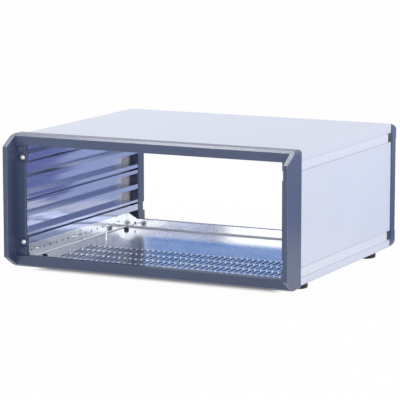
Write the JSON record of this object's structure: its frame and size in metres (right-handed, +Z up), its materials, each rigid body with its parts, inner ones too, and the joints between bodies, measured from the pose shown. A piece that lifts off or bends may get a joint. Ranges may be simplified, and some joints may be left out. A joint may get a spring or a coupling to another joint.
{
  "type": "rack mount case",
  "caption": "Open rack mount case with cast front and rear frames, ribbed side panels, folded covers, trim strips, a slotted inner tray with an earth stud, and round feet.",
  "frame": {"origin": "middle of the case on the plane that its feet stand on", "axes": "+X to the right seen from the front, +Y to the rear, +Z up"},
  "size_m": [0.49, 0.444, 0.2185],
  "materials": {
    "frame_paint": "fine satin powder coat, dark slate blue grey",
    "cover_paint": "fine satin powder coat, pale lavender grey",
    "trim_paint": "satin paint, pale lavender grey",
    "side_panel": "extruded aluminium, bare and bright inside, painted outside",
    "tray_sheet": "bright rolled sheet",
    "foot_rubber": "matt black rubber",
    "rivet_plastic": "black nylon",
    "screw_steel": "bright zinc plate",
    "insert_steel": "bright zinc plate",
    "stud_steel": "bright plated steel"
  },
  "bodies": {
    "root": {"front_frame": "frame_paint", "rear_frame": "frame_paint", "left_side_panel": "side_panel", "right_side_panel": "side_panel", "top_cover": "cover_paint", "bottom_cover": "cover_paint", "chassis_tray": "tray_sheet", "upper_left_trim": "trim_paint", "upper_right_trim": "trim_paint", "lower_left_trim": "trim_paint", "lower_right_trim": "trim_paint", "front_left_foot": "foot_rubber", "front_right_foot": "foot_rubber", "rear_left_foot": "foot_rubber", "rear_right_foot": "foot_rubber", "front_left_rivet": "rivet_plastic", "front_right_rivet": "rivet_plastic", "rear_left_rivet": "rivet_plastic", "rear_right_rivet": "rivet_plastic", "front_frame_screws": "screw_steel", "rear_frame_screws": "screw_steel", "front_panel_inserts": "insert_steel", "rear_panel_inserts": "insert_steel", "top_cover_screws": "screw_steel", "bottom_cover_screws": "screw_steel", "tray_screws": "screw_steel", "earth_stud": "stud_steel"}
  },
  "joints": []
}
